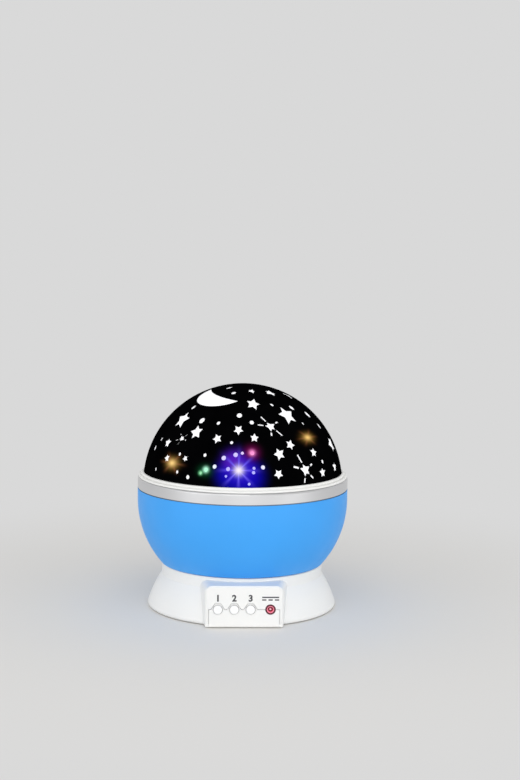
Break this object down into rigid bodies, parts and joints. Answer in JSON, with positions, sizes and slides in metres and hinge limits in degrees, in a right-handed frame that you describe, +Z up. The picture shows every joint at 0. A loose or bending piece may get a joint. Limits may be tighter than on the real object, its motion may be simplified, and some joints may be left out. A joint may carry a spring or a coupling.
{
  "type": "star-projector night light",
  "caption": "Tabletop night light with a star-pierced black dome on a turning blue bowl, over a flared white base with push buttons, supply inlet and battery bay.",
  "frame": {"origin": "on the floor, under the spin axis of the bowl", "axes": "+Z up along the spin axis, control panel facing -Y, supply inlet towards +X"},
  "size_m": [0.125, 0.125, 0.1325],
  "materials": {
    "dome_black": "glossy black moulded dome print",
    "dome_clear": "clear moulded plastic, slightly milky",
    "white_plastic": "satin white moulded plastic",
    "silver_band": "vacuum-plated satin silver",
    "bowl_blue": "satin sky-blue moulded plastic",
    "reflector_white": "bright white moulded plastic",
    "gear_plastic": "natural acetal",
    "bush_plastic": "low-friction white plastic",
    "screw_steel": "zinc-plated steel",
    "spring_steel": "bright spring wire",
    "contact_nickel": "nickel-plated strip",
    "board_green": "solder-masked board",
    "board_white": "white solder-masked board",
    "black_plastic": "black moulded plastic",
    "inlet_maroon": "dark red-brown moulded plastic",
    "inlet_sleeve": "plated contact sleeve",
    "brass_pin": "plated contact pin",
    "motor_steel": "drawn steel can",
    "lamp_clear": "clear epoxy lamp",
    "lamp_red": "tinted epoxy lamp",
    "lamp_green": "tinted epoxy lamp",
    "lamp_blue": "tinted epoxy lamp",
    "wire_red": "wire insulation",
    "wire_black": "wire insulation",
    "button_white": "glossy white moulded cap"
  },
  "bodies": {
    "base": {"base_shell": "white_plastic", "bottom_cover": "white_plastic", "cover_screws": "screw_steel", "battery_springs": "spring_steel", "battery_contacts": "contact_nickel", "control_board": "board_green", "board_screws": "screw_steel", "switch_bodies": "black_plastic", "dc_jack": "inlet_maroon", "jack_sleeve": "inlet_sleeve", "jack_pin": "brass_pin", "motor_can": "motor_steel", "gearbox_case": "gear_plastic", "gearbox_screws": "screw_steel", "lamp_column": "white_plastic", "column_screws": "screw_steel", "thrust_washer": "bush_plastic", "retaining_ring": "bush_plastic", "led_board": "board_white", "led_board_screws": "screw_steel", "led_white": "lamp_clear", "led_red": "lamp_red", "led_green": "lamp_green", "led_blue": "lamp_blue", "lamp_wires": "wire_red", "motor_wires": "wire_black", "battery_wires": "wire_red"},
    "turning_bowl": {"bowl_shell": "bowl_blue", "rim_band": "silver_band", "reflector_plate": "reflector_white", "ring_gear": "gear_plastic", "gear_screws": "screw_steel", "bowl_bush": "bush_plastic"},
    "pinion": {"drive_pinion": "gear_plastic"},
    "dome": {"dome_lens": "dome_clear", "dome_skin": "dome_black", "dome_collar": "white_plastic"},
    "left_button": {"button_1": "button_white", "plunger_1": "gear_plastic"},
    "middle_button": {"button_2": "button_white", "plunger_2": "gear_plastic"},
    "right_button": {"button_3": "button_white", "plunger_3": "gear_plastic"},
    "door": {"battery_door": "white_plastic", "door_screw": "screw_steel"}
  },
  "joints": [
    {"name": "bowl_spin", "type": "hinge", "parent": "base", "child": "turning_bowl", "pos_m": [0, 0, 0], "axis": [0, 0, 1], "continuous": true},
    {"name": "pinion_spin", "type": "hinge", "parent": "base", "child": "pinion", "pos_m": [0.036, 0, 0], "axis": [0, 0, 1], "continuous": true},
    {"name": "dome_lift", "type": "slide", "parent": "turning_bowl", "child": "dome", "axis": [0, 0, 1], "range_m": [0, 0.075]},
    {"name": "door_swing", "type": "hinge", "parent": "base", "child": "door", "pos_m": [0, -0.0252, 0.001], "axis": [-1, 0, 0], "range_deg": [0, 90]},
    {"name": "left_press", "type": "slide", "parent": "base", "child": "left_button", "axis": [0, 1, 0], "range_m": [0, 0.0022], "stiffness_N_per_m": 500},
    {"name": "middle_press", "type": "slide", "parent": "base", "child": "middle_button", "axis": [0, 1, 0], "range_m": [0, 0.0022], "stiffness_N_per_m": 500},
    {"name": "right_press", "type": "slide", "parent": "base", "child": "right_button", "axis": [0, 1, 0], "range_m": [0, 0.0022], "stiffness_N_per_m": 500}
  ],
  "couplings": [
    {"joint": "pinion_spin", "follows": "bowl_spin", "ratio": -3.5}
  ]
}
